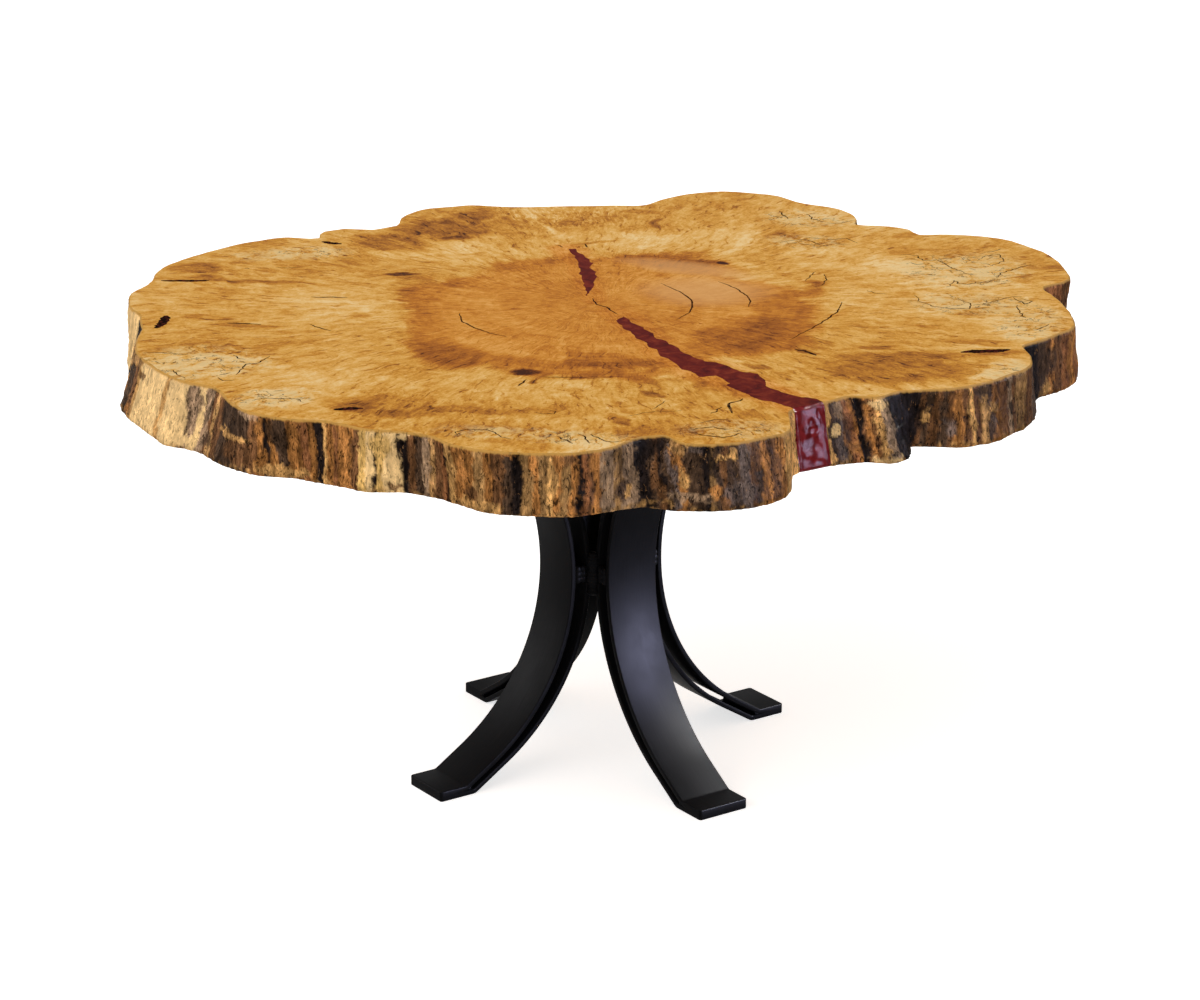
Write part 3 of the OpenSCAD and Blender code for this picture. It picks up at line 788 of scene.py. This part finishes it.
# A painted highlight: a thin pale band along the top of the live edge, where its rounded edge catches the
# light.
level = wall.measure("DOT_PRODUCT", wall.place, (0, 0, 1))
rim_highlight = wall.between(wall.total(level, (streak, 0.004)), TOP_Z - 1.0 * MM, TOP_Z + 1.4 * MM)
tint = wall.mix(rim_highlight, tint, (0.55, 0.29, 0.07))
pits = wall.total(0.0, (streak, 0.4), (patchy, 0.5), (crumbs, 0.4), (wall.between(crackle, 0.36, 0.43), 0.35))
wall.shade(base_color=tint, roughness=wall.between(patchy, 0.3, 0.7, 0.28, 0.5),
           specular_ior_level=FAINT_GLOSS, normal=wall.bump(pits, 0.9, 1.8 * MM))

line_marks = []
for name, dark, pale in (
    ("check_in_maple", (0.030, 0.011, 0.006), (0.12, 0.045, 0.015)),
    ("spalt_zone_line", (0.016, 0.009, 0.005), (0.20, 0.09, 0.03)),
    ("bark_seam", (0.010, 0.005, 0.004), (0.10, 0.022, 0.014)),
):
    mark = Finish(name)
    grain = mark.noise(mark.place, 190.0, 3.0, 0.6)
    mark.shade(base_color=mark.mix(mark.between(grain, 0.46, 0.64), dark, pale), roughness=0.5,
               specular_ior_level=0.0)
    line_marks.append(mark)

for finish in (top, wall, *line_marks):
    slab.data.materials.append(finish.material)
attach(slab, "root")
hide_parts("slab")

# The resin: casting resin tinted dark red, poured into the drying crack that opens through the
# rim and into the closed pocket behind the heart. It is sanded flush with the top, while its
# outer face kept the dents and bubbles of the tape that dammed the pour.
RESIN_DENTS = [
    # degrees, height, half width, half height, depth, in mm
    (309.9, 442.5, 3.6, 2.6, 1.3), (311.3, 448, 2.0, 4.0, 0.9), (311.7, 443, 1.4, 5.0, 0.8),
    (310.2, 436, 5.0, 2.4, 1.1), (309.6, 424, 7.5, 8.0, 2.0), (310.9, 419, 3.4, 3.0, 0.9),
    (309.0, 409, 6.0, 3.0, 1.5), (308.1, 430, 2.2, 9.0, 0.7), (310.9, 406, 5.0, 3.0, 1.1),
    (308.0, 414, 2.6, 4.0, 0.9),
]
BUBBLES = [(307.75, 404 + 3.4 * k, 0.9 + 0.4 * (k % 3), 1.2 + 0.5 * (k % 2), 0.8) for k in range(15)]
MOUTH_FROM, MOUTH_TO = 307.2, 312.4
SWELL, DENT = 1.0, 0.75
POURED = 1
POURED_PITCH, POURED_CUTS, POCKET_PITCH = 1.3 * MM, 9, 20 * MM


def resin_relief(place):
    """How far the poured face stands in (or out, for the swells between the dents), in metres."""
    deep = 0.0
    reach = place.xy.length / MM
    for turn, high, half_w, half_h, depth in RESIN_DENTS + BUBBLES:
        across = math.radians(bearing(place) - turn) * reach / half_w
        up = (place.z / MM - high) / half_h
        away = math.hypot(across, up)
        deep += depth * math.exp(-away ** 3)
    return (SWELL * rough(place, 80, 60) - DENT * deep) * MM


river = walls_of("resin_front", "resin_river", POURED_PITCH)
cut_level_edges(river, is_bank, BANK_CUTS)
cut_level_edges(river, is_rim, POURED_CUTS)
bank_verts = verts_of(river, is_bank)
poured = verts_of(river, is_rim)
bpy.ops.object.mode_set(mode="OBJECT")
fray(river, bank_verts)
for index in poured:
    vert = river.data.vertices[index]
    place = vert.co.copy()
    out = Vector((place.x, place.y, 0)).normalized()
    at_bank = min(bearing(place) - MOUTH_FROM, MOUTH_TO - bearing(place))
    at_edge = min(TOP_Z - place.z, place.z - UNDER_Z)
    ease = smoothstep(0, 0.35, at_bank) * smoothstep(0, 2.5 * MM, at_edge)
    vert.co = place + out * resin_relief(place) * ease
for face in river.data.polygons:
    face.use_smooth = set(face.vertices) <= poured
    face.material_index = POURED if face.use_smooth else SANDED
close_flat_face(river, UNDER_Z)
close_flat_face(river, TOP_Z)
pocket = walls_of("resin_rear", "resin_pocket", POCKET_PITCH)
cut_level_edges(pocket, is_bank, BANK_CUTS)
bank_verts = verts_of(pocket, is_bank)
bpy.ops.object.mode_set(mode="OBJECT")
fray(pocket, bank_verts)
close_flat_face(pocket, UNDER_Z)
close_flat_face(pocket, TOP_Z)

sanded = Finish("sanded_red_resin")
clouding = sanded.noise(sanded.shaken(sanded.place, 40.0, 0.02), 70.0, 4.0, 0.65, 0.8)
sanded.shade(base_color=sanded.ramp(clouding, [
    (0.30, (0.060, 0.004, 0.004)), (0.50, (0.125, 0.010, 0.006)), (0.70, (0.215, 0.030, 0.012))]),
    roughness=0.3, specular_ior_level=FAINT_GLOSS)
cast = Finish("cast_red_resin")
cast_cloud = cast.noise(cast.place, 90.0, 3.0, 0.6, 0.8)
poured_red = cast.mix(cast.between(cast_cloud, 0.35, 0.7), (0.110, 0.007, 0.008), (0.23, 0.020, 0.024))
cast.shade(base_color=poured_red, roughness=0.15, specular_ior_level=0.004)
for piece, node in ((river, "resin_front"), (pocket, "resin_rear")):
    piece.data.materials.append(sanded.material)
    piece.data.materials.append(cast.material)
    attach(piece, "root")
    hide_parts(node)

# The bars: two lengths of 56 x 5 mm flat steel to a leg, rolled to a bow and creased to a flat
# pad at each end. The outer bar's pads lie on the inner bar's, welded and ground flush at the
# sides, and the whole base is finished in satin black powder coat.
LEGS = (1, 2, 3, 4)
BAR_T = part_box("outer_bar_1")[0].z
BAR_EASE = 0.9 * MM
EASE_STEPS = 3
HOLE_REACH = 5 * MM
SCREW_AXES = [sum(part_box(f"washer_{k}"), Vector()) / 2 for k in range(1, 9)]
FIRST_LEG = math.radians(-45)


def on_leg(x, y, z):
    """A point given along the first leg, across it and up, in mm."""
    return Matrix.Rotation(FIRST_LEG, 3, "Z") @ Vector((x, y, z)) * MM


def eased(node, name, width, stays_sharp=lambda edge: False):
    """A copy of a CAD node with its sharp edges rounded."""
    piece = copy_of(node, name)
    bpy.ops.mesh.dissolve_limited(angle_limit=math.radians(0.3))
    select(piece, "edges", lambda e: e.calc_face_angle(0) > math.radians(40) and not stays_sharp(e))
    bpy.ops.mesh.bevel(offset=width, segments=EASE_STEPS, affect="EDGES")
    bpy.ops.object.mode_set(mode="OBJECT")
    bpy.ops.object.shade_smooth_by_angle(angle=math.radians(35))
    return piece


def in_hole(edge):
    return any((v.co.xy - axis.xy).length < HOLE_REACH for v in edge.verts for axis in SCREW_AXES)


def between_pads(edge):
    mating = (BAR_T, UNDER_Z - BAR_T)
    return all(min(abs(v.co.z - level) for level in mating) < CLOSE for v in edge.verts)


def to_each_leg(first, stem, finish):
    """Names the first leg's piece and copies it round to the others, each in its CAD node's place."""
    first.data.materials.append(finish.material)
    for k in LEGS:
        piece = first if k == 1 else bpy.data.objects.new(stem, first.data.copy())
        piece.name = piece.data.name = f"{stem}_on_leg_{k}"
        if k > 1:
            piece.data.transform(Matrix.Rotation(math.radians(90 * (k - 1)), 4, "Z"))
            bpy.context.scene.collection.objects.link(piece)
        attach(piece, "root")
        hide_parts(f"{stem}_{k}")


coat = Finish("black_powder_coat")
peel = coat.noise(coat.place, 900.0, 2.0, 0.6)
across = coat.add("Attribute", attribute_name="across").outputs["Fac"]
along = coat.measure("DOT_PRODUCT", coat.place, (0, 0, 0.02))
hairline = coat.noise(coat.join(across, along), 1600.0, 3.0, 0.7)
cloudy = coat.noise(coat.place, 30.0, 3.0, 0.6)
tone = coat.mix(coat.between(hairline, 0.3, 0.7), (0.0035, 0.0035, 0.0040), (0.0070, 0.0070, 0.0080))
sheen = coat.math("ADD", coat.between(hairline, 0.3, 0.7, 0.42, 0.47),
                  coat.between(cloudy, 0.3, 0.7, -0.03, 0.03))
coat.shade(base_color=tone, roughness=sheen, specular_ior_level=0.012,
           normal=coat.bump(peel, 0.12, 0.15 * MM))

for stem in ("outer_bar", "inner_bar"):
    bar = eased(f"{stem}_1", stem, BAR_EASE, lambda e: in_hole(e) or between_pads(e))
    unturned = Matrix.Rotation(-FIRST_LEG, 3, "Z")
    place_across = bar.data.attributes.new("across", "FLOAT", "POINT")
    for vert in bar.data.vertices:
        place_across.data[vert.index].value = (unturned @ vert.co).y
    to_each_leg(bar, stem, coat)

# The welds: a block welded across the gap of each pair of bars at the waist, an upright run in
# each corner where two inner bars meet, and a fillet in the wedge behind every pad. Each run is
# a row of set drops, and they are powder-coated with the bars.
DROP_WOBBLE = 0.15

# A drop's half sizes in mm, how many to a run, how far in from its ends in mm, and the skin's grain
BLOCK_DROP, BLOCK_DROPS, BLOCK_IN, BLOCK_GRAIN = (3.4, 2.6, 3.8), 3, 2, 0.55 * MM
WAIST_DROP, WAIST_DROPS, WAIST_IN, WAIST_GRAIN = (4.2, 6.2, 3.0), 13, 2.5, 0.6 * MM
FILLET_DROP, FILLET_DROPS, FILLET_IN, FILLET_GRAIN = (2.2, 2.2, 1.5), 19, 1.6, 0.5 * MM
FILLET_DEEP = 2.6


def drops(start, end, count, half, turn):
    """A row of overlapping drops from start to end, added to the piece in edit mode."""
    for k in range(count):
        shake = 1 + DROP_WOBBLE * math.sin(5.1 * k + 40 * start.z / MM)
        bpy.ops.mesh.primitive_uv_sphere_add(
            segments=14, ring_count=8, radius=1, location=start.lerp(end, k / (count - 1)),
            rotation=(0, 0, turn), scale=[size * MM * shake for size in half])


def melted(piece, grain):
    """Runs a piece's drops together into one skin."""
    bpy.ops.object.mode_set(mode="OBJECT")
    melt = piece.modifiers.new("melt", "REMESH")
    melt.mode = "VOXEL"
    melt.voxel_size = grain
    bpy.ops.object.modifier_apply(modifier=melt.name)
    settle = piece.modifiers.new("settle", "SMOOTH")
    settle.factor = 0.5
    settle.iterations = 2
    bpy.ops.object.modifier_apply(modifier=settle.name)
    bpy.ops.object.shade_smooth()
    return piece


def leg_box(node):
    """A node's lowest and highest corner along the first leg, across it and up, in mm."""
    back = Matrix.Rotation(-FIRST_LEG, 3, "Z")
    points = [back @ v.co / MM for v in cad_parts[node].data.vertices]
    return [Vector([pick(p[axis] for p in points) for axis in range(3)]) for pick in (min, max)]


block_low, block_high = leg_box("spacer_1")
spacer = copy_of("spacer_1", "spacer")
for side in (block_low.y, block_high.y):
    for x in (block_low.x + BLOCK_DROP[0], block_high.x - BLOCK_DROP[0]):
        drops(on_leg(x, side, block_low.z + BLOCK_IN), on_leg(x, side, block_high.z - BLOCK_IN),
              BLOCK_DROPS, BLOCK_DROP, FIRST_LEG)
to_each_leg(melted(spacer, BLOCK_GRAIN), "spacer", coat)

weld_low, weld_high = (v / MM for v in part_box("waist_weld_1"))
seam = opened("waist_weld", bpy.data.meshes.new("waist_weld"))
seam_x = weld_high.x - WAIST_DROP[0]
drops(Vector((seam_x, 0, weld_low.z + WAIST_IN)) * MM, Vector((seam_x, 0, weld_high.z - WAIST_IN)) * MM,
      WAIST_DROPS, WAIST_DROP, 0)
to_each_leg(melted(seam, WAIST_GRAIN), "waist_weld", coat)

for stem in ("foot_weld", "top_weld"):
    fillet_low, fillet_high = leg_box(f"{stem}_1")
    fillet = copy_of(f"{stem}_1", stem)
    middle = (fillet_low + fillet_high) / 2
    deep = fillet_low.x + FILLET_DEEP
    drops(on_leg(deep, fillet_low.y + FILLET_IN, middle.z), on_leg(deep, fillet_high.y - FILLET_IN, middle.z),
          FILLET_DROPS, FILLET_DROP, FIRST_LEG)
    to_each_leg(melted(fillet, FILLET_GRAIN), stem, coat)

# The screws: two black hexagon-head wood screws to a leg, each with a washer, up through the
# pads into the slice. Their heads are chamfered, and the coat is thin zinc.
zinc = Finish("black_zinc")
specks = zinc.noise(zinc.place, 500.0, 3.0, 0.6)
zinc.shade(base_color=zinc.mix(specks, (0.04, 0.04, 0.042), (0.10, 0.10, 0.105)), metallic=0.9,
           roughness=zinc.between(specks, 0.3, 0.7, 0.3, 0.45))
HEAD_EASE, WASHER_EASE = 0.35 * MM, 0.3 * MM
PADS_FROM = UNDER_Z - BAR_T * 2.05
for k in range(1, 9):
    for stem, width in (("screw", HEAD_EASE), ("washer", WASHER_EASE)):
        fixing = eased(f"{stem}_{k}", f"black_{stem}_{k}", width, lambda e: e.verts[0].co.z > PADS_FROM)
        fixing.data.materials.append(zinc.material)
        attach(fixing, "root")
        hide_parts(f"{stem}_{k}")

# The floor: a plain pale studio floor that keeps the table's shadow. The camera and mirror
# reflections see it a little brighter, so that it meets the white background.
FLOOR_SIZE = 30
bpy.ops.mesh.primitive_plane_add(size=FLOOR_SIZE)
floor = bpy.context.object
floor.name = "floor"
paper = Finish("floor_paper")
seen = paper.add("LightPath").outputs
shown = paper.math("MAXIMUM", seen["Is Camera Ray"], paper.math(
    "MAXIMUM", seen["Is Glossy Ray"], seen["Is Transmission Ray"]))
paper.shade(base_color=(0.85, 0.85, 0.85), roughness=1.0, specular_ior_level=0.0,
            emission_color=(1, 1, 1), emission_strength=paper.times(shown, 0.68))
floor.data.materials.append(paper.material)

# The light: a white world and one high soft sun. Three softboxes, two on the right and a faint
# one on the left, show only in the gloss of the finishes.
world = bpy.data.worlds.new("studio")
bpy.context.scene.world = world
world.use_nodes = True
sky = world.node_tree.nodes["Background"]
rays_seen = world.node_tree.nodes.new("ShaderNodeLightPath").outputs
sky.inputs["Color"].default_value = (1, 1, 1, 1)
SKY_LIGHT = 0.5


def world_math(operation, *values):
    made = world.node_tree.nodes.new("ShaderNodeMath")
    made.operation = operation
    for socket, value in zip(made.inputs, values):
        if isinstance(value, bpy.types.NodeSocket):
            world.node_tree.links.new(value, socket)
        else:
            socket.default_value = value
    return made.outputs[0]


direct = world_math("MAXIMUM", rays_seen["Is Camera Ray"], world_math(
    "MAXIMUM", rays_seen["Is Glossy Ray"], rays_seen["Is Transmission Ray"]))
strength = world_math("MULTIPLY_ADD", direct, 1 - SKY_LIGHT, SKY_LIGHT)
world.node_tree.links.new(strength, sky.inputs["Strength"])


def lamp(name, kind, place, aim_at, energy, **settings):
    data = bpy.data.lights.new(name, kind)
    data.energy = energy
    for key, value in settings.items():
        setattr(data, key, value)
    made = bpy.data.objects.new(name, data)
    bpy.context.scene.collection.objects.link(made)
    made.location = place
    made.rotation_euler = (Vector(aim_at) - Vector(place)).to_track_quat("-Z", "Y").to_euler()
    return made


lamp("overhead", "SUN", (-1.2, -1.6, 3.0), (0, 0, 0.4), 1.7, angle=math.radians(60))
side_box = lamp("side_box", "AREA", (2.01, -0.38, 0.72), (0.05, -0.05, 0.12), 1060,
                shape="RECTANGLE", size=0.8, size_y=1.2, color=(0.66, 0.68, 1.0))
high_box = lamp("high_box", "AREA", (1.59, 0.60, 1.65), (0.09, -0.10, 0.05), 1200, size=0.8)
left_box = lamp("left_box", "AREA", (-2.04, 0.27, 0.69), (-0.05, -0.05, 0.12), 40, size=1.0)
for box in (side_box, high_box, left_box):
    box.visible_diffuse = False

# The camera: it stands where the photograph was taken from, some 3.7 m off and a metre above
# the table, with a long lens.
camera_data = bpy.data.cameras.new("camera")
camera = bpy.data.objects.new("camera", camera_data)
bpy.context.scene.collection.objects.link(camera)
camera.location = (0.65698, -3.61929, 1.49386)
camera.rotation_euler = Euler((math.radians(71.46), 0, math.radians(10.3)))
camera_data.sensor_width = 36
camera_data.lens = 119.313
bpy.context.scene.camera = camera
bpy.context.scene.view_settings.view_transform = "Standard"
